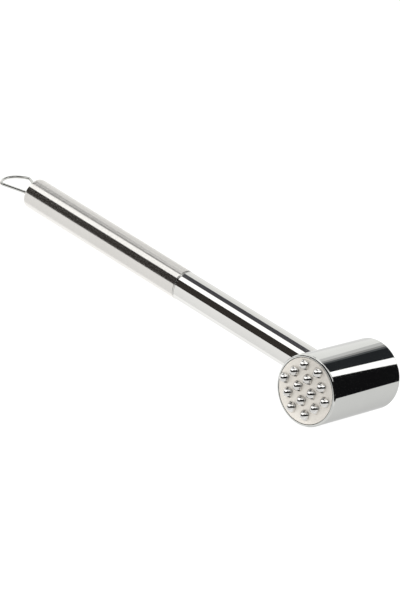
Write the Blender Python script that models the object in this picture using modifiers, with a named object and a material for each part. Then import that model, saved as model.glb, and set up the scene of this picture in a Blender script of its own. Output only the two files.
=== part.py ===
"""A stainless steel meat mallet: a round head with a studded face and a smooth face, on a
two-part tubular handle that ends in a wire hanging loop.

World frame: +Z is up, and the mallet lies on Z = 0 on its head's round side and its tail.
+X runs from the hanging loop to the head. The studded face looks to -Y, the smooth one to +Y.
The origin is below the middle of the whole mallet.

The pieces are built around the head's middle, where the two axes cross, and the empty
mallet_axes tips and lifts all of them into the lying pose. Head pieces turn about an axis
that points out of the studded face, handle pieces about one that points to the tail.
"""

import math

import bmesh
import bpy
from mathutils import Vector

MM = 0.001

# Fits that every piece shares
FIT_GAP = 0.3 * MM  # radial clearance of a round fit
SEAT_GAP = 0.1 * MM  # clearance between two flat seats
CUT_OVERRUN = 2.0 * MM  # how far a cutter runs past the wall that it opens

# Head
HEAD_DIAMETER = 45.0 * MM
HEAD_LENGTH = 66.0 * MM
RIM_ROUND = 1.4 * MM  # rounding of the head's two rims
SHELL_WALL = 1.5 * MM
PLATE_THICKNESS = 6.0 * MM
PLATE_EDGE = 0.3 * MM  # small bevel round a face plate
CORE_CHAMFER = 1.0 * MM

# Studs of the toothed face: blunt, bulging square pyramids, in rows along the handle
ROW_COUNTS = (2, 3, 4, 3, 2)
PATTERN_MARGIN = 4.2 * MM  # plate's edge to the middle of the longest row's outer studs
ROW_PITCH_SHARE = 0.668  # row spacing as a share of the spacing in a row
PATTERN_RISE = 0.2 * MM  # the pattern sits this much above the face's centre
PATTERN_SHIFT = 0.7 * MM  # and this much towards the tail
STUD_WIDTH_SHARE = 0.88  # width across a base's flats as a share of the row spacing
STUD_HEIGHT = 3.7 * MM
STUD_SQUARENESS = 3.0  # power of the section's rounded square
CIRCLE_POWER = 2.0  # the same for a circle
STUD_FALL = 1.75  # power of the flank's fall, 1 being an ellipse and 2 a parabola
SHANK_DIAMETER = 3.0 * MM
SHANK_LENGTH = 4.0 * MM
SHANK_CHAMFER = 0.4 * MM

# Handle
SEAM_REACH = 133.2 * MM  # head's axis to the middle of the ring between the two tubes
TAIL_REACH = 270.7 * MM  # head's axis to the end cap's outer face
FRONT_DIAMETER = 19.9 * MM
FRONT_WALL = 1.5 * MM
FRONT_EDGE_ROUND = 0.6 * MM
REAR_DIAMETER = 20.4 * MM  # at the ring
TAIL_DIAMETER = 20.8 * MM
REAR_WALL = 1.2 * MM
REAR_EDGE_ROUND = 0.4 * MM

# Spigot that locates the front tube on the head
SPIGOT_NECK_DIAMETER = 14.0 * MM
SPIGOT_SINK = 10.0 * MM  # how deep the neck reaches below the head's round side
SPIGOT_GRIP = 14.0 * MM  # how far the spigot reaches into the front tube
SPIGOT_CHAMFER = 0.8 * MM

# Ring between the tubes, with a step into each
RING_WIDTH = 0.8 * MM
RING_STANDOUT = 0.1 * MM  # beyond the front tube
RING_ROUND = 0.3 * MM  # rounding of its rim
RING_GRIP = 13.0 * MM  # length of each step
RING_CHAMFER = 0.8 * MM

# Tie rod, washer and nut that clamp the front tube against the head
ROD_DIAMETER = 8.0 * MM
ROD_TIP_REACH = 4.0 * MM  # head's axis to the rod's end in the core
ROD_CHAMFER = 0.8 * MM
TAPPING_SPARE = 2.0 * MM  # tapped hole past the rod's end
WASHER_DIAMETER = 16.0 * MM
WASHER_THICKNESS = 1.6 * MM
NUT_ACROSS_FLATS = 13.0 * MM
NUT_HEIGHT = 6.5 * MM
NUT_CHAMFER = 1.0 * MM
THREAD_SPARE = 3.0 * MM  # rod past the nut

# End cap and hanging loop
CAP_RIM_THICKNESS = 2.5 * MM
CAP_ROUND = 1.2 * MM
CAP_PLUG_LENGTH = 10.0 * MM
CAP_CHAMFER = 0.8 * MM
WIRE_DIAMETER = 2.2 * MM
LOOP_LENGTH = 25.2 * MM  # from the cap's face to the outside of the crown
LOOP_SHOULDER = 18.4 * MM  # from the cap's face to the corners' height
LOOP_WIDTH = 27.4 * MM  # between the legs' and the crown's centre lines at that height
LOOP_ROOT_SPACING = 9.2 * MM  # between the wire's centre lines at the cap's face
LOOP_BEND_RADIUS = 2.2 * MM  # centre line of a corner
LOOP_SINK = 6.0 * MM  # length of each end in its hole

# Smoothness, in steps round a circle or along a curve
HEAD_STEPS = 90
PLATE_STEPS = 64
TUBE_STEPS = 64
CAP_STEPS = 48
INNER_STEPS = 32
STUD_STEPS = 16
HOLE_STEPS = 24
RIM_ARC_STEPS = 5
EDGE_ARC_STEPS = 3
FLANK_STEPS = 7
CORNER_ARC_STEPS = 5
CROWN_ARC_STEPS = 7
WIRE_BEVEL_RESOLUTION = 3
SHARP_ANGLE = math.radians(35)
HEX_SIDES = 6

# Worked out from the sizes above
HEAD_RADIUS = HEAD_DIAMETER / 2
SHELL_BORE = HEAD_RADIUS - SHELL_WALL
PLATE_RADIUS = SHELL_BORE - FIT_GAP
STUD_PITCH = 2 * (PLATE_RADIUS - PATTERN_MARGIN) / (max(ROW_COUNTS) - 1)
ROW_PITCH = STUD_PITCH * ROW_PITCH_SHARE
STUD_BASE = ROW_PITCH * STUD_WIDTH_SHARE / 2
FRONT_RADIUS = FRONT_DIAMETER / 2
FRONT_BORE = FRONT_RADIUS - FRONT_WALL
REAR_RADIUS = REAR_DIAMETER / 2
TAIL_RADIUS = TAIL_DIAMETER / 2
SPIGOT_NECK = SPIGOT_NECK_DIAMETER / 2
SPIGOT_FOOT = HEAD_RADIUS - SPIGOT_SINK
ROD_RADIUS = ROD_DIAMETER / 2
ROD_HOLE = ROD_RADIUS + FIT_GAP
WIRE_RADIUS = WIRE_DIAMETER / 2
RING_FRONT = SEAM_REACH - RING_WIDTH / 2
RING_BACK = SEAM_REACH + RING_WIDTH / 2
WASHER_FRONT = RING_BACK + RING_GRIP + SEAT_GAP
NUT_FRONT = WASHER_FRONT + WASHER_THICKNESS + SEAT_GAP
CAP_SHOULDER = TAIL_REACH - CAP_RIM_THICKNESS

# Steel finishes: colour, roughness
POLISHED = ((0.78, 0.78, 0.77), 0.06)
SATIN = ((0.66, 0.66, 0.64), 0.30)
MATTE = ((0.64, 0.62, 0.59), 0.45)
MACHINED = ((0.55, 0.55, 0.56), 0.35)

# Directions of the two families of turned pieces
HEAD_TURN = (math.pi / 2, 0, 0)
HANDLE_TURN = (0, -math.pi / 2, 0)


def clear_scene():
    for old in list(bpy.data.objects):
        bpy.data.objects.remove(old, do_unlink=True)


def new_collection(name):
    collection = bpy.data.collections.new(name)
    bpy.context.scene.collection.children.link(collection)
    return collection


def lying_tilt():
    """How far the handle dips so that the end cap's rounded rim meets the floor."""
    reach = TAIL_REACH - CAP_ROUND
    half_width = TAIL_RADIUS - CAP_ROUND
    drop = HEAD_RADIUS - CAP_ROUND
    return math.asin(drop / math.hypot(reach, half_width)) - math.atan2(half_width, reach)


def mallet_axes():
    """The empty at the head's middle that lays the mallet down over the origin."""
    tilt = lying_tilt()
    behind = (TAIL_REACH + LOOP_LENGTH - WIRE_RADIUS) * math.cos(tilt) + WIRE_RADIUS
    axes = bpy.data.objects.new("mallet_axes", None)
    axes.location = ((behind - HEAD_RADIUS) / 2, (SEAT_GAP + STUD_HEIGHT) / 2, HEAD_RADIUS)
    axes.rotation_euler = (0, -tilt, 0)
    PARTS.objects.link(axes)
    return axes


def steel(name, finish):
    colour, roughness = finish
    material = bpy.data.materials.new(name)
    material.use_nodes = True
    shader = material.node_tree.nodes["Principled BSDF"]
    shader.inputs["Base Color"].default_value = (*colour, 1)
    shader.inputs["Metallic"].default_value = 1
    shader.inputs["Roughness"].default_value = roughness
    return material


def place(item, collection, turn, location=(0, 0, 0)):
    collection.objects.link(item)
    item.parent = AXES
    item.rotation_euler = turn
    item.location = location
    return item


def arc(centre, radius, start, end, steps):
    """Points round a centre in the (radius, height) plane, angles in degrees from +radius."""
    points = []
    for step in range(steps + 1):
        angle = math.radians(start + (end - start) * step / steps)
        points.append((centre[0] + radius * math.cos(angle), centre[1] + radius * math.sin(angle)))
    return points


def top_round(radius, top, rounding, steps):
    return arc((radius - rounding, top - rounding), rounding, 90, 0, steps)


def bottom_round(radius, bottom, rounding, steps):
    return arc((radius - rounding, bottom + rounding), rounding, 0, -90, steps)


def chamfered_bar(radius, top, bottom, chamfer):
    """Profile of a solid bar with both ends chamfered, from the axis at the top round to the bottom."""
    return [
        (0, top),
        (radius - chamfer, top),
        (radius, top - chamfer),
        (radius, bottom + chamfer),
        (radius - chamfer, bottom),
        (0, bottom),
    ]


def turned(name, profile, steps, closed=False):
    """A piece turned about its own Z from (radius, height) points running down its outer side."""
    mesh = bpy.data.meshes.new(name)
    edges = [(i, i + 1) for i in range(len(profile) - 1)]
    if closed:
        edges.append((len(profile) - 1, 0))
    mesh.from_pydata([(radius, 0, height) for radius, height in profile], edges, [])
    item = bpy.data.objects.new(name, mesh)
    screw = item.modifiers.new("Turn", "SCREW")
    screw.axis = "Z"
    screw.angle = math.tau
    screw.steps = steps
    screw.render_steps = steps
    screw.use_merge_vertices = True
    screw.merge_threshold = 0.001 * MM
    return item


def bar_cutter(name, bars, turn, steps=HOLE_STEPS):
    """Round bars in one cutter: each has a radius, a start point and an end point."""
    shape = bmesh.new()
    for radius, start, end in bars:
        start = Vector(start)
        end = Vector(end)
        along = end - start
        made = bmesh.ops.create_cone(
            shape, cap_ends=True, segments=steps, radius1=radius, radius2=radius, depth=along.length
        )
        lean = Vector((0, 0, 1)).rotation_difference(along)
        bmesh.ops.rotate(shape, verts=made["verts"], cent=(0, 0, 0), matrix=lean.to_matrix())
        bmesh.ops.translate(shape, verts=made["verts"], vec=(start + end) / 2)
    mesh = bpy.data.meshes.new(name)
    shape.to_mesh(mesh)
    shape.free()
    item = place(bpy.data.objects.new(name, mesh), CUTTERS, turn)
    item.hide_render = True
    item.display_type = "WIRE"
    return item


def cut(item, cutter, operation="DIFFERENCE"):
    boolean = item.modifiers.new("Cut", "BOOLEAN")
    boolean.operation = operation
    boolean.solver = "EXACT"
    boolean.object = cutter


def settle(item):
    """Turns the modifiers' result into the item's mesh, smooth but for its real edges."""
    bpy.context.view_layer.update()
    evaluated = item.evaluated_get(bpy.context.evaluated_depsgraph_get())
    mesh = bpy.data.meshes.new_from_object(evaluated)
    mesh.name = item.name
    item.modifiers.clear()
    item.data = mesh
    mesh.shade_smooth()
    mesh.set_sharp_from_angle(angle=SHARP_ANGLE)


def finished(item, finish):
    settle(item)
    item.data.materials.clear()
    item.data.materials.append(steel(item.name + "_steel", finish))
    return item


def head_shell():
    """The polished round side of the head, open at both ends, with a hole for the spigot."""
    top = HEAD_LENGTH / 2
    profile = [(SHELL_BORE, top)]
    profile += top_round(HEAD_RADIUS, top, RIM_ROUND, RIM_ARC_STEPS)
    profile += bottom_round(HEAD_RADIUS, -top, RIM_ROUND, RIM_ARC_STEPS)
    profile.append((SHELL_BORE, -top))
    shell = place(turned("head_shell", profile, HEAD_STEPS, closed=True), PARTS, HEAD_TURN)
    start = (0, 0, SHELL_BORE - CUT_OVERRUN)
    end = (0, 0, HEAD_RADIUS + CUT_OVERRUN)
    cut(shell, bar_cutter("shell_hole", [(SPIGOT_NECK + FIT_GAP, start, end)], HANDLE_TURN))
    return finished(shell, POLISHED)


def head_core():
    """The steel weight between the face plates, with the spigot's pocket and the tapped hole."""
    top = HEAD_LENGTH / 2 - PLATE_THICKNESS - SEAT_GAP
    profile = chamfered_bar(PLATE_RADIUS, top, -top, CORE_CHAMFER)
    core = place(turned("head_core", profile, CAP_STEPS), PARTS, HEAD_TURN)
    outside = (0, 0, HEAD_RADIUS + CUT_OVERRUN)
    pocket = (SPIGOT_NECK + FIT_GAP, (0, 0, SPIGOT_FOOT - SEAT_GAP), outside)
    tapping = (ROD_HOLE, (0, 0, ROD_TIP_REACH - TAPPING_SPARE), outside)
    cut(core, bar_cutter("core_pocket", [pocket], HANDLE_TURN))
    cut(core, bar_cutter("core_tapping", [tapping], HANDLE_TURN))
    return finished(core, MACHINED)


def stud_places():
    """(along the handle, up) for every stud, row by row from the top."""
    places = []
    middle_row = (len(ROW_COUNTS) - 1) / 2
    for row, count in enumerate(ROW_COUNTS):
        up = PATTERN_RISE + (middle_row - row) * ROW_PITCH
        for stud in range(count):
            places.append(((stud - (count - 1) / 2) * STUD_PITCH - PATTERN_SHIFT, up))
    return places


def toothed_plate():
    """The matte face plate, drilled for the studs' shanks."""
    top = HEAD_LENGTH / 2
    bottom = top - PLATE_THICKNESS
    profile = chamfered_bar(PLATE_RADIUS, top, bottom, PLATE_EDGE)
    plate = place(turned("toothed_plate", profile, PLATE_STEPS), PARTS, HEAD_TURN)
    hole = SHANK_DIAMETER / 2 + FIT_GAP
    depth = SHANK_LENGTH + FIT_GAP
    bars = [(hole, (x, y, top - depth), (x, y, top + CUT_OVERRUN)) for x, y in stud_places()]
    cut(plate, bar_cutter("stud_holes", bars, HEAD_TURN, steps=STUD_STEPS))
    return finished(plate, MATTE)


def smooth_plate():
    """The flat face plate at the other end of the head."""
    bottom = -HEAD_LENGTH / 2
    profile = chamfered_bar(PLATE_RADIUS, bottom + PLATE_THICKNESS, bottom, PLATE_EDGE)
    plate = place(turned("smooth_plate", profile, PLATE_STEPS), PARTS, HEAD_TURN)
    return finished(plate, POLISHED)


def rounded_square(half_width, power, height):
    """A ring of points whose distance from the axis grows from the flats to the corners."""
    ring = []
    for step in range(STUD_STEPS):
        angle = math.tau * step / STUD_STEPS
        x = math.cos(angle)
        y = math.sin(angle)
        reach = half_width / (abs(x) ** power + abs(y) ** power) ** (1 / power)
        ring.append((reach * x, reach * y, height))
    return ring


def stud_rings():
    """Sections of a stud below its tip: bulging flanks, a flat seat, then a round shank."""
    rings = []
    for step in range(1, FLANK_STEPS):
        angle = math.pi / 2 * step / FLANK_STEPS
        height = STUD_HEIGHT * math.cos(angle) ** STUD_FALL
        rings.append(rounded_square(STUD_BASE * math.sin(angle), STUD_SQUARENESS, height))
    rings.append(rounded_square(STUD_BASE, STUD_SQUARENESS, 0))
    shank = SHANK_DIAMETER / 2
    foot = -SEAT_GAP - SHANK_LENGTH
    rings.append(rounded_square(shank, CIRCLE_POWER, 0))
    rings.append(rounded_square(shank, CIRCLE_POWER, foot + SHANK_CHAMFER))
    rings.append(rounded_square(shank - SHANK_CHAMFER, CIRCLE_POWER, foot))
    return rings


def stud_mesh():
    """One closed mesh over the rings, with a fan at the tip and one at the foot."""
    rings = stud_rings()
    verts = [point for ring in rings for point in ring]
    tip = len(verts)
    foot = tip + 1
    verts += [(0, 0, STUD_HEIGHT), (0, 0, rings[-1][0][2])]
    faces = []
    last = (len(rings) - 1) * STUD_STEPS
    for step in range(STUD_STEPS):
        after = (step + 1) % STUD_STEPS
        faces.append((tip, step, after))
        faces.append((foot, last + after, last + step))
        for start in range(0, last, STUD_STEPS):
            below = start + STUD_STEPS
            faces.append((start + step, below + step, below + after, start + after))
    mesh = bpy.data.meshes.new("stud_01")
    mesh.from_pydata(verts, [], faces)
    return mesh


def studs():
    """The polished studs, pressed into the toothed plate: one mesh, each its own piece."""
    face = HEAD_LENGTH / 2 + SEAT_GAP
    first = bpy.data.objects.new("stud_01", stud_mesh())
    made = []
    for number, (x, y) in enumerate(stud_places(), start=1):
        item = first if number == 1 else bpy.data.objects.new(f"stud_{number:02d}", first.data)
        place(item, PARTS, HEAD_TURN, (x, -face, y))
        if number == 1:
            finished(item, POLISHED)
        made.append(item)
    return made


def front_tube():
    """The polished tube next to the head, its end coped to the head's round side."""
    top = RING_FRONT - SEAT_GAP
    bottom = HEAD_RADIUS - FRONT_RADIUS
    profile = [(FRONT_BORE, top)]
    profile += top_round(FRONT_RADIUS, top, FRONT_EDGE_ROUND, EDGE_ARC_STEPS)
    profile += [(FRONT_RADIUS, bottom), (FRONT_BORE, bottom)]
    tube = place(turned("front_tube", profile, TUBE_STEPS, closed=True), PARTS, HANDLE_TURN)
    half = FRONT_RADIUS + CUT_OVERRUN
    cope = [(HEAD_RADIUS + SEAT_GAP, (0, 0, -half), (0, 0, half))]
    cut(tube, bar_cutter("cope", cope, HEAD_TURN, steps=HEAD_STEPS))
    return finished(tube, POLISHED)


def head_spigot():
    """The stepped bush that sits in the head and centres the front tube."""
    top = HEAD_RADIUS + SPIGOT_GRIP
    collar = FRONT_BORE - FIT_GAP
    profile = [
        (ROD_HOLE, top),
        (collar - SPIGOT_CHAMFER, top),
        (collar, top - SPIGOT_CHAMFER),
        (collar, HEAD_RADIUS + SEAT_GAP),
        (SPIGOT_NECK, HEAD_RADIUS + SEAT_GAP),
        (SPIGOT_NECK, SPIGOT_FOOT + SPIGOT_CHAMFER),
        (SPIGOT_NECK - SPIGOT_CHAMFER, SPIGOT_FOOT),
        (ROD_HOLE, SPIGOT_FOOT),
    ]
    spigot = place(turned("head_spigot", profile, INNER_STEPS, closed=True), PARTS, HANDLE_TURN)
    return finished(spigot, MACHINED)


def rear_bore(reach):
    """The rear tube's inner radius at a distance from the head's axis."""
    share = (reach - RING_BACK) / (CAP_SHOULDER - RING_BACK)
    return REAR_RADIUS + (TAIL_RADIUS - REAR_RADIUS) * share - REAR_WALL


def joint_ring():
    """The ring that shows between the tubes, with a step that centres each of them."""
    top = RING_BACK + RING_GRIP
    bottom = RING_FRONT - RING_GRIP
    rim = FRONT_RADIUS + RING_STANDOUT
    rear_step = rear_bore(RING_BACK) - FIT_GAP
    front_step = FRONT_BORE - FIT_GAP
    profile = [
        (ROD_HOLE, top),
        (rear_step - RING_CHAMFER, top),
        (rear_step, top - RING_CHAMFER),
        (rear_step, RING_BACK),
        *top_round(rim, RING_BACK, RING_ROUND, EDGE_ARC_STEPS),
        *bottom_round(rim, RING_FRONT, RING_ROUND, EDGE_ARC_STEPS),
        (front_step, RING_FRONT),
        (front_step, bottom + RING_CHAMFER),
        (front_step - RING_CHAMFER, bottom),
        (ROD_HOLE, bottom),
    ]
    ring = place(turned("joint_ring", profile, CAP_STEPS, closed=True), PARTS, HANDLE_TURN)
    return finished(ring, POLISHED)


def tie_rod():
    """The rod that screws into the core and pulls the front tube onto the head."""
    top = NUT_FRONT + NUT_HEIGHT + THREAD_SPARE
    profile = chamfered_bar(ROD_RADIUS, top, ROD_TIP_REACH, ROD_CHAMFER)
    rod = place(turned("tie_rod", profile, INNER_STEPS), PARTS, HANDLE_TURN)
    return finished(rod, MACHINED)


def rod_washer():
    radius = WASHER_DIAMETER / 2
    top = WASHER_FRONT + WASHER_THICKNESS
    profile = [(ROD_HOLE, top), (radius, top), (radius, WASHER_FRONT), (ROD_HOLE, WASHER_FRONT)]
    washer = place(turned("rod_washer", profile, INNER_STEPS, closed=True), PARTS, HANDLE_TURN)
    return finished(washer, MACHINED)


def rod_nut():
    """A hexagon nut, its corners cut off by a double cone, on the end of the tie rod."""
    corner = NUT_ACROSS_FLATS / 2 / math.cos(math.pi / HEX_SIDES)
    top = NUT_FRONT + NUT_HEIGHT
    prism = [(0, top), (corner, top), (corner, NUT_FRONT), (0, NUT_FRONT)]
    nut = place(turned("rod_nut", prism, HEX_SIDES), PARTS, HANDLE_TURN)
    rounded = chamfered_bar(corner, top, NUT_FRONT, NUT_CHAMFER)
    blank = place(turned("nut_blank", rounded, INNER_STEPS), CUTTERS, HANDLE_TURN)
    blank.hide_render = True
    blank.display_type = "WIRE"
    cut(nut, blank, "INTERSECT")
    start = (0, 0, NUT_FRONT - CUT_OVERRUN)
    end = (0, 0, top + CUT_OVERRUN)
    cut(nut, bar_cutter("nut_bore", [(ROD_HOLE, start, end)], HANDLE_TURN, steps=INNER_STEPS))
    return finished(nut, MACHINED)


def rear_tube():
    """The satin grip, a little wider at the tail than at the ring."""
    top = CAP_SHOULDER - SEAT_GAP
    bottom = RING_BACK + SEAT_GAP
    profile = [(TAIL_RADIUS - REAR_WALL, top), (TAIL_RADIUS, top)]
    profile += bottom_round(REAR_RADIUS, bottom, REAR_EDGE_ROUND, EDGE_ARC_STEPS)
    profile.append((REAR_RADIUS - REAR_WALL, bottom))
    tube = place(turned("rear_tube", profile, TUBE_STEPS, closed=True), PARTS, HANDLE_TURN)
    return finished(tube, SATIN)


def leg_start():
    """Where a leg's centre line meets the cap's face, and its direction outward, on the +Y side."""
    root = Vector((0, LOOP_ROOT_SPACING / 2, TAIL_REACH))
    corner = Vector((0, LOOP_WIDTH / 2, TAIL_REACH + LOOP_SHOULDER))
    return root, (corner - root).normalized()


def end_cap():
    """The plug that closes the tail, with a slanted hole for each end of the loop."""
    plug = rear_bore(CAP_SHOULDER - CAP_PLUG_LENGTH) - FIT_GAP
    bottom = CAP_SHOULDER - CAP_PLUG_LENGTH
    profile = [(0, TAIL_REACH)]
    profile += top_round(TAIL_RADIUS, TAIL_REACH, CAP_ROUND, EDGE_ARC_STEPS)
    profile += [(TAIL_RADIUS, CAP_SHOULDER), (plug, CAP_SHOULDER), (plug, bottom + CAP_CHAMFER)]
    profile += [(plug - CAP_CHAMFER, bottom), (0, bottom)]
    cap = place(turned("end_cap", profile, CAP_STEPS), PARTS, HANDLE_TURN)
    root, along = leg_start()
    mirror = Vector((1, -1, 1))
    inner = root - along * (LOOP_SINK + FIT_GAP)
    outer = root + along * CUT_OVERRUN
    hole = WIRE_RADIUS + FIT_GAP
    cut(cap, bar_cutter("loop_hole_a", [(hole, inner, outer)], HANDLE_TURN))
    cut(cap, bar_cutter("loop_hole_b", [(hole, inner * mirror, outer * mirror)], HANDLE_TURN))
    return finished(cap, SATIN)


def loop_half():
    """Centre line of half the loop, from its end in the cap to the middle of the crown."""
    root, along = leg_start()
    apex = TAIL_REACH + LOOP_LENGTH - WIRE_RADIUS
    sagitta = apex - TAIL_REACH - LOOP_SHOULDER
    crown_radius = ((LOOP_WIDTH / 2) ** 2 + sagitta**2) / (2 * sagitta)
    crown_centre = Vector((0, 0, apex - crown_radius))
    inward = Vector((0, -along.z, along.y))
    offset = root + inward * LOOP_BEND_RADIUS - crown_centre
    reach = (crown_radius - LOOP_BEND_RADIUS) ** 2 - offset.length_squared
    run = -offset.dot(along) + math.sqrt(offset.dot(along) ** 2 + reach)
    bend_centre = root + along * run + inward * LOOP_BEND_RADIUS
    leg_angle = math.atan2(-inward.z, -inward.y)
    out = bend_centre - crown_centre
    crown_angle = math.atan2(out.z, out.y)
    points = [root - along * LOOP_SINK]
    for step in range(CORNER_ARC_STEPS + 1):
        angle = leg_angle + (crown_angle - leg_angle) * step / CORNER_ARC_STEPS
        points.append(bend_centre + Vector((0, math.cos(angle), math.sin(angle))) * LOOP_BEND_RADIUS)
    for step in range(1, CROWN_ARC_STEPS + 1):
        angle = crown_angle + (math.pi / 2 - crown_angle) * step / CROWN_ARC_STEPS
        points.append(crown_centre + Vector((0, math.cos(angle), math.sin(angle))) * crown_radius)
    return points


def hanging_loop():
    """The bent wire at the tail, both of its ends set in the cap."""
    half = loop_half()
    points = half + [Vector((0, -point.y, point.z)) for point in reversed(half[:-1])]
    curve = bpy.data.curves.new("hanging_loop", "CURVE")
    curve.dimensions = "3D"
    curve.bevel_depth = WIRE_RADIUS
    curve.bevel_resolution = WIRE_BEVEL_RESOLUTION
    curve.use_fill_caps = True
    spline = curve.splines.new("POLY")
    spline.points.add(len(points) - 1)
    for spline_point, point in zip(spline.points, points):
        spline_point.co = (*point, 1)
    wire = place(bpy.data.objects.new("hanging_loop", curve), PARTS, HANDLE_TURN)
    curve.materials.append(steel("hanging_loop_steel", POLISHED))
    return wire


clear_scene()
PARTS = new_collection("meat_mallet")
CUTTERS = new_collection("meat_mallet_cutters")
AXES = mallet_axes()

head_shell()
head_core()
toothed_plate()
smooth_plate()
studs()
head_spigot()
front_tube()
joint_ring()
tie_rod()
rod_washer()
rod_nut()
rear_tube()
end_cap()
hanging_loop()
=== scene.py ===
"""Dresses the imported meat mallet: fine meshes over its visible nodes, steel materials, a soft
studio and the camera.

Sizes are metres. The mallet's own axes cross at the head's middle: a point at a reach along the
handle and a height above it is placed by the matrix MALLET, which lays the mallet down.
"""

import math

import bpy
from mathutils import Matrix, Vector

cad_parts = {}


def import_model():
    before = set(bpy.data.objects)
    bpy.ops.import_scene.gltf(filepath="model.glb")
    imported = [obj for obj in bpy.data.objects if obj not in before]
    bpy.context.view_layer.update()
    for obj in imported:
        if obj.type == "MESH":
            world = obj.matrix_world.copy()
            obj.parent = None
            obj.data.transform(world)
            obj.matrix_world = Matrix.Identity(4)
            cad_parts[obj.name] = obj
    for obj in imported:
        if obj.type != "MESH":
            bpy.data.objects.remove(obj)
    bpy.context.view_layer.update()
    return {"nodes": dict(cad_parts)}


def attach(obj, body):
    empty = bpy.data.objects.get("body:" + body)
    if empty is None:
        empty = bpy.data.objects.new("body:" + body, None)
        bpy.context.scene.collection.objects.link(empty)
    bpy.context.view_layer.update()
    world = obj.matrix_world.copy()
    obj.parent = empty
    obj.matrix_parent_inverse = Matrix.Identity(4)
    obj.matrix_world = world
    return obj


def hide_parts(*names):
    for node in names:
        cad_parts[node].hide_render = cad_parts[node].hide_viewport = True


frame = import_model()

MM = 0.001

# Sizes of the visible pieces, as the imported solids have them
SEAT_GAP = 0.1 * MM
HEAD_RADIUS = 22.5 * MM
HEAD_LENGTH = 66.0 * MM
RIM_ROUND = 1.4 * MM
SHELL_BORE = 21.0 * MM
PLATE_RADIUS = 20.7 * MM
PLATE_THICKNESS = 6.0 * MM
PLATE_EDGE = 0.3 * MM
ROW_COUNTS = (2, 3, 4, 3, 2)
STUD_PITCH = 11.0 * MM
ROW_PITCH = STUD_PITCH * 0.668
PATTERN_RISE = 0.2 * MM
PATTERN_SHIFT = 0.7 * MM
STUD_BASE = ROW_PITCH * 0.88 / 2
STUD_HEIGHT = 3.7 * MM
STUD_SQUARENESS = 3.0
STUD_FALL = 1.75
SEAM_REACH = 133.2 * MM
TAIL_REACH = 270.7 * MM
FRONT_RADIUS = 9.95 * MM
FRONT_BORE = 8.45 * MM
REAR_RADIUS = 10.2 * MM
TAIL_RADIUS = 10.4 * MM
REAR_WALL = 1.2 * MM
REAR_EDGE_ROUND = 0.4 * MM
RING_WIDTH = 0.8 * MM
RING_STANDOUT = 0.1 * MM
CAP_RIM_THICKNESS = 2.5 * MM
CAP_ROUND = 1.2 * MM
WIRE_RADIUS = 1.1 * MM
LOOP_LENGTH = 25.2 * MM
LOOP_SHOULDER = 18.4 * MM
LOOP_WIDTH = 27.4 * MM
LOOP_ROOT_SPACING = 9.2 * MM
LOOP_BEND_RADIUS = 2.2 * MM
LOOP_SINK = 6.0 * MM

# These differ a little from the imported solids, for the thin lines at the ring and the cap
FRONT_EDGE_ROUND = 0.3 * MM
RING_ROUND = 0.4 * MM
CAP_GAP = 0.025 * MM

# How finely the meshes are divided
ROUND_STEPS = 160
RIM_STEPS = 14
EDGE_STEPS = 5
TUBE_END_STEPS = 8
CAP_EDGE_STEPS = 10
STUD_STEPS = 48
STUD_LEVELS = 20
LOOP_BEND_STEPS = 12
LOOP_CROWN_STEPS = 20
WIRE_STEPS = 8
SHARP_ANGLE = math.radians(35)
STUD_SHARP_ANGLE = math.radians(60)

# The camera, from the photograph's perspective, in the mallet's own axes
CAMERA_FROM = Vector((0.9450, -1.4879, 0.7815))
CAMERA_AT = Vector((-0.0836, -0.0478, 0.0226))
CAMERA_ROLL = math.radians(18.47)
CAMERA_LENS = 188.3
SENSOR_WIDTH = 36


def lying_matrix():
    reach = TAIL_REACH - CAP_ROUND
    half_width = TAIL_RADIUS - CAP_ROUND
    drop = HEAD_RADIUS - CAP_ROUND
    tilt = math.asin(drop / math.hypot(reach, half_width)) - math.atan2(half_width, reach)
    behind = (TAIL_REACH + LOOP_LENGTH - WIRE_RADIUS) * math.cos(tilt) + WIRE_RADIUS
    along = (behind - HEAD_RADIUS) / 2
    middle = Vector((along, (SEAT_GAP + STUD_HEIGHT) / 2, HEAD_RADIUS))
    return Matrix.Translation(middle) @ Matrix.Rotation(-tilt, 4, "Y")


MALLET = lying_matrix()
STUDS_UP = Matrix.Rotation(math.pi / 2, 4, "X")
TO_HEAD = Matrix.Translation(MALLET.translation) @ STUDS_UP
TO_TAIL = MALLET @ Matrix.Rotation(-math.pi / 2, 4, "Y")


# Shapes


def arc(centre, radius, start, end, steps):
    """Points round a centre in the (radius, height) plane, angles in degrees."""
    points = []
    for step in range(steps + 1):
        angle = math.radians(start + (end - start) * step / steps)
        across = centre[0] + radius * math.cos(angle)
        points.append((across, centre[1] + radius * math.sin(angle)))
    return points


def revolve(name, profile, closed):
    """A mesh turned about Z from (radius, height) points, or (radius, height function) ones."""
    verts = []
    faces = []
    columns = []
    for step in range(ROUND_STEPS):
        angle = math.tau * step / ROUND_STEPS
        column = []
        for radius, height in profile:
            if radius == 0 and columns:
                column.append(columns[0][len(column)])
                continue
            level = height(angle) if callable(height) else height
            column.append(len(verts))
            verts.append((radius * math.cos(angle), radius * math.sin(angle), level))
        columns.append(column)
    count = len(profile)
    for step in range(ROUND_STEPS):
        here = columns[step]
        there = columns[(step + 1) % ROUND_STEPS]
        for i in range(count if closed else count - 1):
            j = (i + 1) % count
            corners = [here[i], here[j], there[j], there[i]]
            face = [c for k, c in enumerate(corners) if c != corners[k - 1]]
            if len(face) > 2:
                faces.append(face)
    mesh = bpy.data.meshes.new(name)
    mesh.from_pydata(verts, [], faces)
    mesh.shade_smooth()
    mesh.set_sharp_from_angle(angle=SHARP_ANGLE)
    return mesh


def dress(name, data, matrix, material, nodes, baked=False):
    """Adds a piece over the nodes that it replaces; a baked one has its place in its points."""
    if baked:
        data.transform(matrix)
        matrix = Matrix()
    item = bpy.data.objects.new(name, data)
    bpy.context.scene.collection.objects.link(item)
    item.matrix_world = matrix
    data.materials.clear()
    data.materials.append(material)
    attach(item, "root")
    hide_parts(*nodes)


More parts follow.
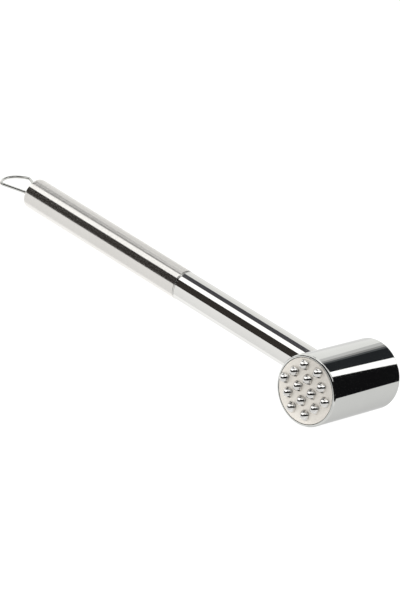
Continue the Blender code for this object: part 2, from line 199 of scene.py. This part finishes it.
# Materials


def new_material(name):
    material = bpy.data.materials.new(name)
    material.use_nodes = True
    nodes = material.node_tree.nodes
    return material, nodes, material.node_tree.links, nodes["Principled BSDF"]


def add(nodes, kind, **values):
    node = nodes.new(kind)
    for key, value in values.items():
        setattr(node, key, value)
    return node


def noise(nodes, links, scale_xyz, detail):
    """Noise over the object's own coordinates, stretched by a scale on each axis."""
    coordinates = add(nodes, "ShaderNodeTexCoord")
    mapping = add(nodes, "ShaderNodeMapping")
    mapping.inputs["Scale"].default_value = scale_xyz
    texture = add(nodes, "ShaderNodeTexNoise")
    texture.inputs["Scale"].default_value = 1
    texture.inputs["Detail"].default_value = detail
    texture.inputs["Roughness"].default_value = 0.55
    links.new(coordinates.outputs["Object"], mapping.inputs["Vector"])
    links.new(mapping.outputs["Vector"], texture.inputs["Vector"])
    return texture


def spread(nodes, links, source, low, high):
    """Maps the middle of a texture's factor to a range."""
    node = add(nodes, "ShaderNodeMapRange")
    node.inputs["From Min"].default_value = 0.3
    node.inputs["From Max"].default_value = 0.7
    node.inputs["To Min"].default_value = low
    node.inputs["To Max"].default_value = high
    links.new(source.outputs["Fac"], node.inputs["Value"])
    return node


def tint(nodes, links, source, dark, light):
    node = add(nodes, "ShaderNodeMix", data_type="RGBA")
    node.inputs[6].default_value = (*dark, 1)
    node.inputs[7].default_value = (*light, 1)
    links.new(source.outputs[0], node.inputs[0])
    return node


def bump(nodes, links, source, strength, distance):
    node = add(nodes, "ShaderNodeBump")
    node.inputs["Strength"].default_value = strength
    node.inputs["Distance"].default_value = distance
    links.new(source.outputs["Fac"], node.inputs["Height"])
    return node


def steel(
    name, dark, light, rough, grain, grain_bump, patches, patch_rough=0.0, turned=0.0, edge=1.0
):
    """Steel with stretched polishing or brushing grain and slow patches of wear.

    A turned finish has its grain round the piece's own Z, and so blurs along Z. The edge value
    is what steel reflects at a grazing angle.
    """
    material, nodes, links, shader = new_material(name)
    lines = noise(nodes, links, grain, detail=4.0)
    slow = noise(nodes, links, patches, detail=2.0)
    colour = tint(nodes, links, spread(nodes, links, slow, 0, 1), dark, light)
    links.new(colour.outputs[2], shader.inputs["Base Color"])
    fine = spread(nodes, links, lines, rough[0], rough[1])
    wear = spread(nodes, links, slow, -patch_rough, patch_rough)
    total = add(nodes, "ShaderNodeMath", operation="ADD", use_clamp=True)
    links.new(fine.outputs[0], total.inputs[0])
    links.new(wear.outputs[0], total.inputs[1])
    links.new(total.outputs[0], shader.inputs["Roughness"])
    relief = bump(nodes, links, lines, grain_bump[0], grain_bump[1])
    links.new(relief.outputs["Normal"], shader.inputs["Normal"])
    shader.inputs["Metallic"].default_value = 1
    shader.inputs["Specular Tint"].default_value = (edge, edge, edge, 1)
    if turned:
        shader.inputs["Anisotropic"].default_value = turned
        shader.inputs["Anisotropic Rotation"].default_value = 0.25
        tangent = add(nodes, "ShaderNodeTangent", direction_type="RADIAL", axis="Z")
        links.new(tangent.outputs["Tangent"], shader.inputs["Tangent"])
    return material


HEAD_STEEL = steel(
    "head_polish",
    (0.62, 0.625, 0.605),
    (0.645, 0.65, 0.63),
    rough=(0.03, 0.06),
    grain=(90, 90, 3500),
    grain_bump=(0.05, 0.02 * MM),
    patches=(35, 35, 35),
    patch_rough=0.01,
    edge=0.75,
)
FRONT_STEEL = steel(
    "front_polish",
    (0.64, 0.635, 0.615),
    (0.67, 0.665, 0.645),
    rough=(0.03, 0.06),
    grain=(90, 90, 3500),
    grain_bump=(0.05, 0.02 * MM),
    patches=(35, 35, 20),
    patch_rough=0.01,
    edge=0.8,
)
STUD_STEEL = steel(
    "stud_polish",
    (0.68, 0.67, 0.65),
    (0.74, 0.73, 0.71),
    rough=(0.06, 0.12),
    grain=(400, 400, 4000),
    grain_bump=(0.05, 0.02 * MM),
    patches=(200, 200, 200),
)
SATIN_STEEL = steel(
    "rear_satin",
    (0.60, 0.585, 0.56),
    (0.64, 0.625, 0.60),
    rough=(0.16, 0.24),
    grain=(60, 60, 5000),
    grain_bump=(0.05, 0.02 * MM),
    patches=(30, 30, 15),
    patch_rough=0.01,
    turned=1.0,
)
CAP_STEEL = steel(
    "cap_satin",
    (0.60, 0.585, 0.56),
    (0.64, 0.625, 0.60),
    rough=(0.12, 0.20),
    grain=(900, 900, 900),
    grain_bump=(0.05, 0.02 * MM),
    patches=(60, 60, 60),
)
PLATE_STEEL = steel(
    "plate_matte",
    (0.89, 0.85, 0.785),
    (0.94, 0.90, 0.835),
    rough=(0.42, 0.58),
    grain=(2600, 2600, 2600),
    grain_bump=(0.25, 0.05 * MM),
    patches=(120, 120, 120),
    patch_rough=0.03,
)
WIRE_STEEL = steel(
    "wire_polish",
    (0.50, 0.50, 0.48),
    (0.56, 0.56, 0.54),
    rough=(0.03, 0.06),
    grain=(1500, 1500, 1500),
    grain_bump=(0.04, 0.02 * MM),
    patches=(150, 150, 150),
    patch_rough=0.02,
)


# The mallet's visible pieces


def head_shell():
    top = HEAD_LENGTH / 2
    edge = HEAD_RADIUS - RIM_ROUND
    profile = [(SHELL_BORE, top)]
    profile += arc((edge, top - RIM_ROUND), RIM_ROUND, 90, 0, RIM_STEPS)
    profile += arc((edge, RIM_ROUND - top), RIM_ROUND, 0, -90, RIM_STEPS)
    profile.append((SHELL_BORE, -top))
    mesh = revolve("head_shell_fine", profile, closed=True)
    dress("head_shell_fine", mesh, TO_HEAD, HEAD_STEEL, ["head_shell"])


def face_plate(name, side, material, node):
    outer = HEAD_LENGTH / 2
    inner = outer - PLATE_THICKNESS
    profile = [(0, outer)]
    edge = (PLATE_RADIUS - PLATE_EDGE, outer - PLATE_EDGE)
    profile += arc(edge, PLATE_EDGE, 90, 0, EDGE_STEPS)
    profile += [(PLATE_RADIUS, inner), (0, inner)]
    mesh = revolve(name, profile, closed=False)
    turn = Matrix.Rotation(0 if side > 0 else math.pi, 4, "X")
    dress(name, mesh, TO_HEAD @ turn, material, [node])


def stud_mesh():
    """A blunt square pyramid with bulging flanks, on its own Z."""
    verts = [(0, 0, STUD_HEIGHT)]
    for level in range(1, STUD_LEVELS + 1):
        share = math.pi / 2 * level / STUD_LEVELS
        half_width = STUD_BASE * math.sin(share)
        height = STUD_HEIGHT * max(math.cos(share), 0) ** STUD_FALL
        for step in range(STUD_STEPS):
            angle = math.tau * step / STUD_STEPS
            x = math.cos(angle)
            y = math.sin(angle)
            power = STUD_SQUARENESS
            reach = half_width / (abs(x) ** power + abs(y) ** power) ** (1 / power)
            verts.append((reach * x, reach * y, height))
    faces = []
    for step in range(STUD_STEPS):
        after = (step + 1) % STUD_STEPS
        faces.append((0, 1 + step, 1 + after))
        for start in range(1, 1 + (STUD_LEVELS - 1) * STUD_STEPS, STUD_STEPS):
            below = start + STUD_STEPS
            faces.append((start + step, below + step, below + after, start + after))
    faces.append([len(verts) - 1 - step for step in range(STUD_STEPS)])
    mesh = bpy.data.meshes.new("stud_fine")
    mesh.from_pydata(verts, [], faces)
    mesh.shade_smooth()
    mesh.set_sharp_from_angle(angle=STUD_SHARP_ANGLE)
    return mesh


def studs():
    mesh = stud_mesh()
    face = HEAD_LENGTH / 2 + SEAT_GAP
    number = 0
    for row, count in enumerate(ROW_COUNTS):
        up = PATTERN_RISE + ((len(ROW_COUNTS) - 1) / 2 - row) * ROW_PITCH
        for place in range(count):
            number += 1
            along = (place - (count - 1) / 2) * STUD_PITCH - PATTERN_SHIFT
            matrix = Matrix.Translation(MALLET @ Vector((along, -face, up))) @ STUDS_UP
            name = f"stud_fine_{number:02d}"
            dress(name, mesh, matrix, STUD_STEEL, [f"stud_{number:02d}"])


def coped(radius):
    """Reach of the front tube's coped end round the tube, for one of its radii."""
    saddle = HEAD_RADIUS + SEAT_GAP
    return lambda angle: math.sqrt(saddle**2 - (radius * math.cos(angle)) ** 2)


def front_tube():
    top = SEAM_REACH - RING_WIDTH / 2 - SEAT_GAP
    edge = FRONT_RADIUS - FRONT_EDGE_ROUND
    profile = [(FRONT_BORE, top)]
    profile += arc((edge, top - FRONT_EDGE_ROUND), FRONT_EDGE_ROUND, 90, 0, TUBE_END_STEPS)
    profile += [(FRONT_RADIUS, coped(FRONT_RADIUS)), (FRONT_BORE, coped(FRONT_BORE))]
    mesh = revolve("front_tube_fine", profile, closed=True)
    dress("front_tube_fine", mesh, TO_TAIL, FRONT_STEEL, ["front_tube"])


def joint_ring():
    rim = FRONT_RADIUS + RING_STANDOUT
    inner = FRONT_BORE - RING_ROUND
    low = SEAM_REACH - RING_WIDTH / 2
    high = SEAM_REACH + RING_WIDTH / 2
    profile = [(inner, high)]
    profile += arc((rim - RING_ROUND, high - RING_ROUND), RING_ROUND, 90, 0, EDGE_STEPS)
    profile += arc((rim - RING_ROUND, low + RING_ROUND), RING_ROUND, 0, -90, EDGE_STEPS)
    profile.append((inner, low))
    mesh = revolve("joint_ring_fine", profile, closed=True)
    dress("joint_ring_fine", mesh, TO_TAIL, FRONT_STEEL, ["joint_ring"])


def rear_tube():
    top = TAIL_REACH - CAP_RIM_THICKNESS - CAP_GAP
    bottom = SEAM_REACH + RING_WIDTH / 2 + SEAT_GAP
    edge = REAR_RADIUS - REAR_EDGE_ROUND
    profile = [(TAIL_RADIUS - REAR_WALL, top), (TAIL_RADIUS, top)]
    profile += arc((edge, bottom + REAR_EDGE_ROUND), REAR_EDGE_ROUND, 0, -90, EDGE_STEPS)
    profile.append((REAR_RADIUS - REAR_WALL, bottom))
    mesh = revolve("rear_tube_fine", profile, closed=True)
    dress("rear_tube_fine", mesh, TO_TAIL, SATIN_STEEL, ["rear_tube"])


def end_cap():
    shoulder = TAIL_REACH - CAP_RIM_THICKNESS
    profile = [(0, TAIL_REACH)]
    edge = (TAIL_RADIUS - CAP_ROUND, TAIL_REACH - CAP_ROUND)
    profile += arc(edge, CAP_ROUND, 90, 0, CAP_EDGE_STEPS)
    profile += [(TAIL_RADIUS, shoulder), (0, shoulder)]
    mesh = revolve("end_cap_fine", profile, closed=False)
    dress("end_cap_fine", mesh, TO_TAIL, CAP_STEEL, ["end_cap"], baked=True)


def loop_half():
    """Centre line of half the loop, in the plane through both axes."""
    root = Vector((0, LOOP_ROOT_SPACING / 2, TAIL_REACH))
    shoulder = Vector((0, LOOP_WIDTH / 2, TAIL_REACH + LOOP_SHOULDER))
    along = (shoulder - root).normalized()
    inward = Vector((0, -along.z, along.y))
    apex = TAIL_REACH + LOOP_LENGTH - WIRE_RADIUS
    sagitta = apex - TAIL_REACH - LOOP_SHOULDER
    crown_radius = ((LOOP_WIDTH / 2) ** 2 + sagitta**2) / (2 * sagitta)
    crown = Vector((0, 0, apex - crown_radius))
    offset = root + inward * LOOP_BEND_RADIUS - crown
    span = (crown_radius - LOOP_BEND_RADIUS) ** 2 - offset.length_squared
    run = -offset.dot(along) + math.sqrt(offset.dot(along) ** 2 + span)
    bend = root + along * run + inward * LOOP_BEND_RADIUS
    start = math.atan2(-inward.z, -inward.y)
    turn = math.atan2((bend - crown).z, (bend - crown).y)
    points = [root - along * LOOP_SINK]
    for step in range(LOOP_BEND_STEPS + 1):
        angle = start + (turn - start) * step / LOOP_BEND_STEPS
        points.append(bend + Vector((0, math.cos(angle), math.sin(angle))) * LOOP_BEND_RADIUS)
    for step in range(1, LOOP_CROWN_STEPS + 1):
        angle = turn + (math.pi / 2 - turn) * step / LOOP_CROWN_STEPS
        points.append(crown + Vector((0, math.cos(angle), math.sin(angle))) * crown_radius)
    return points


def hanging_loop():
    half = loop_half()
    points = half + [Vector((0, -point.y, point.z)) for point in reversed(half[:-1])]
    curve = bpy.data.curves.new("hanging_loop_fine", "CURVE")
    curve.dimensions = "3D"
    curve.bevel_depth = WIRE_RADIUS
    curve.bevel_resolution = WIRE_STEPS
    curve.use_fill_caps = True
    spline = curve.splines.new("POLY")
    spline.points.add(len(points) - 1)
    for spline_point, point in zip(spline.points, points):
        spline_point.co = (*point, 1)
    spline.use_smooth = True
    dress("hanging_loop_fine", curve, TO_TAIL, WIRE_STEEL, ["hanging_loop"], baked=True)


def hidden_steel():
    """The inner pieces stay as they are, in a machined finish."""
    material = steel(
        "machined",
        (0.52, 0.52, 0.53),
        (0.60, 0.60, 0.60),
        rough=(0.28, 0.42),
        grain=(60, 60, 3000),
        grain_bump=(0.1, 0.03 * MM),
        patches=(60, 60, 60),
    )
    for node in ("head_core", "head_spigot", "tie_rod", "rod_washer", "rod_nut"):
        for place in frame["nodes"][node].material_slots:
            place.material = material


# The studio

CARD_DISTANCE = 4.0
CARD_ROWS = 12
CARD_COLUMNS = 24
LONG_CARD_ROWS = 16
FLOOR_HALF_SIZE = 30.0
FLOOR_GREY = (0.25, 0.25, 0.25)
FLOOR_LIGHT = 0.88
SHEET_LIFT = 0.2 * MM
HEAD_SPOT = (0.137, 0.0)
WHITE = (1, 1, 1)
COOL = (0.9, 0.9, 1.0)
WARM = (1.0, 0.88, 0.78)
FAINTLY_WARM = (1.0, 0.95, 0.9)
# Glow strengths: the handle shows the left of the room, the head's round side the right
LIGHT = 1.7
HORIZON_LIGHT = 1.32
OVERHEAD_LIGHT = 1.05
LOW_SKY = 0.12
HIGH_SKY = 0.62
ROOM_LEFT = 0.045
ROOM_MIDDLE = 0.012
ROOM_RIGHT = 0.008


def glow(name, colour, strength):
    material, _, _, shader = new_material(name)
    shader.inputs["Base Color"].default_value = (0, 0, 0, 1)
    shader.inputs["Specular IOR Level"].default_value = 0
    shader.inputs["Emission Color"].default_value = (*colour, 1)
    shader.inputs["Emission Strength"].default_value = strength
    return material


def glowing_sheet(name, verts, rows, columns, colour, strength):
    """A stage piece over a grid of points, seen in the mallet's reflections only."""
    faces = []
    for i in range(rows):
        for j in range(columns):
            a = i * (columns + 1) + j
            faces.append((a, a + 1, a + columns + 2, a + columns + 1))
    mesh = bpy.data.meshes.new(name)
    mesh.from_pydata(verts, [], faces)
    mesh.materials.append(glow(name, colour, strength))
    item = bpy.data.objects.new(name, mesh)
    bpy.context.scene.collection.objects.link(item)
    item.visible_camera = False
    item.visible_diffuse = False
    item.visible_shadow = False


def card(
    name, azimuth, elevation, colour, strength, distance=CARD_DISTANCE, centre=(0.0, 0.0)
):
    """A curved studio card round a point on the floor.

    Azimuth runs from +X to +Y, in degrees, and elevation above the floor.
    """
    verts = []
    for i in range(CARD_ROWS + 1):
        up = math.radians(elevation[0] + (elevation[1] - elevation[0]) * i / CARD_ROWS)
        for j in range(CARD_COLUMNS + 1):
            share = (azimuth[1] - azimuth[0]) * j / CARD_COLUMNS
            turn = math.radians(azimuth[0] + share)
            flat = distance * math.cos(up)
            x = centre[0] + flat * math.cos(turn)
            y = centre[1] + flat * math.sin(turn)
            verts.append((x, y, distance * math.sin(up)))
    glowing_sheet(name, verts, CARD_ROWS, CARD_COLUMNS, colour, strength)


def long_card(name, along, lean, colour, strength):
    """A studio card as long as its range along X, curved round the handle.

    Its lean runs in degrees from -Y up over the handle.
    """
    verts = []
    for i in range(LONG_CARD_ROWS + 1):
        turn = math.radians(lean[0] + (lean[1] - lean[0]) * i / LONG_CARD_ROWS)
        for x in along:
            verts.append((x, -CARD_DISTANCE * math.cos(turn), CARD_DISTANCE * math.sin(turn)))
    glowing_sheet(name, verts, LONG_CARD_ROWS, 1, colour, strength)


def table(name, along, across, strength):
    """A lit patch just over the floor, from one X to another and one Y to another."""
    verts = [(x, y, SHEET_LIFT) for y in across for x in along]
    glowing_sheet(name, verts, 1, 1, WHITE, strength)


def floor():
    size = FLOOR_HALF_SIZE
    mesh = bpy.data.meshes.new("floor")
    corners = [(-size, -size, 0), (size, -size, 0), (size, size, 0), (-size, size, 0)]
    mesh.from_pydata(corners, [], [(0, 1, 2, 3)])
    material, _, _, shader = new_material("floor")
    shader.inputs["Base Color"].default_value = (*FLOOR_GREY, 1)
    shader.inputs["Roughness"].default_value = 0.9
    shader.inputs["Specular IOR Level"].default_value = 0
    shader.inputs["Emission Color"].default_value = (*WHITE, 1)
    shader.inputs["Emission Strength"].default_value = FLOOR_LIGHT
    mesh.materials.append(material)
    item = bpy.data.objects.new("floor", mesh)
    bpy.context.scene.collection.objects.link(item)


def world():
    """Soft light all round, brightest at the horizon."""
    studio_world = bpy.data.worlds.new("studio")
    bpy.context.scene.world = studio_world
    studio_world.use_nodes = True
    nodes = studio_world.node_tree.nodes
    links = studio_world.node_tree.links
    background = nodes["Background"]
    background.inputs["Color"].default_value = (1.0, 1.0, 0.99, 1)
    coordinates = add(nodes, "ShaderNodeTexCoord")
    height = add(nodes, "ShaderNodeSeparateXYZ")
    fade = add(nodes, "ShaderNodeMapRange")
    fade.inputs["From Min"].default_value = LOW_SKY
    fade.inputs["From Max"].default_value = HIGH_SKY
    fade.inputs["To Min"].default_value = HORIZON_LIGHT
    fade.inputs["To Max"].default_value = OVERHEAD_LIGHT
    links.new(coordinates.outputs["Generated"], height.inputs[0])
    links.new(height.outputs["Z"], fade.inputs["Value"])
    links.new(fade.outputs[0], background.inputs["Strength"])


def studio():
    floor()
    world()
    # A dark room on the camera's side, and low boards that end the floor's reflection
    long_card("room_far", (-9, -3.4), (0, 48.5), WARM, 0.035)
    long_card("room_left", (-3.4, -0.8), (0, 46.6), WARM, ROOM_LEFT)
    long_card("room_middle", (-0.8, 9), (0, 70), FAINTLY_WARM, ROOM_MIDDLE)
    card("room_right", (-20, 63.6), (0, 45), COOL, ROOM_RIGHT)
    card("board_left", (190, 262), (0, 6), WARM, ROOM_LEFT, 0.42)
    card("board_front", (240, 340), (0, 14), FAINTLY_WARM, ROOM_MIDDLE, 0.24, HEAD_SPOT)
    card("board_right", (-20, 80), (0, 14), COOL, ROOM_RIGHT, 0.4, HEAD_SPOT)
    # White lights above it
    long_card("light_far", (-8, -3.4), (48.5, 77.5), WHITE, LIGHT)
    long_card("light_left", (-3.4, -0.8), (46.6, 80), WHITE, LIGHT)
    long_card("light_middle", (-0.8, 4.5), (70, 92), WHITE, LIGHT)
    card("light_right", (63.6, 76), (20, 62), WHITE, LIGHT)
    # Flags overhead, a charcoal one over the front tube and greyer ones round it
    long_card("flag_top", (-3.4, -2.4), (81, 118), COOL, 0.1)
    long_card("flag_far", (-6, -3.4), (77.5, 91), WHITE, 0.12)
    long_card("flag_near", (-2.4, -1.2), (81, 92), WHITE, 0.25)
    long_card("fill_near", (-2.4, -1.2), (92, 118), WHITE, 1.4)
    long_card("ceiling", (-1.2, 5), (92, 118), WHITE, 0.4)
    # A dark flag behind the head, which grows lighter to its left
    card("flag_back", (76, 103.5), (20, 62), (0.8, 0.9, 1.0), 0.03)
    card("flag_edge", (103.5, 108), (20, 62), (0.9, 0.95, 1.0), 0.13)
    card("flag_end", (108, 112.5), (20, 62), WHITE, 0.42)
    card("flag_fade", (112.5, 119), (20, 62), WHITE, 0.78)
    # The table: bright under the handle, dimmer beside and in front of the head
    table("lit_table", (-0.2, 0.1), (-0.009, 0.025), 1.4)
    table("dim_table", (0.145, 0.5), (-0.035, 0.5), 0.9)
    table("front_table", (0.09, 0.23), (-0.25, -0.039), 0.88)


def camera():
    data = bpy.data.cameras.new("camera")
    data.lens = CAMERA_LENS
    data.sensor_width = SENSOR_WIDTH
    data.clip_start = 0.05
    data.clip_end = 200
    item = bpy.data.objects.new("camera", data)
    item.rotation_mode = "QUATERNION"
    item.location = MALLET @ CAMERA_FROM
    look = (MALLET @ CAMERA_AT - item.location).to_track_quat("-Z", "Y")
    item.rotation_quaternion = look @ Matrix.Rotation(CAMERA_ROLL, 3, "Z").to_quaternion()
    bpy.context.scene.collection.objects.link(item)
    bpy.context.scene.camera = item


bpy.context.scene.view_settings.view_transform = "Standard"
head_shell()
face_plate("toothed_plate_fine", 1, PLATE_STEEL, "toothed_plate")
face_plate("smooth_plate_fine", -1, HEAD_STEEL, "smooth_plate")
studs()
front_tube()
joint_ring()
rear_tube()
end_cap()
hanging_loop()
hidden_steel()
studio()
camera()
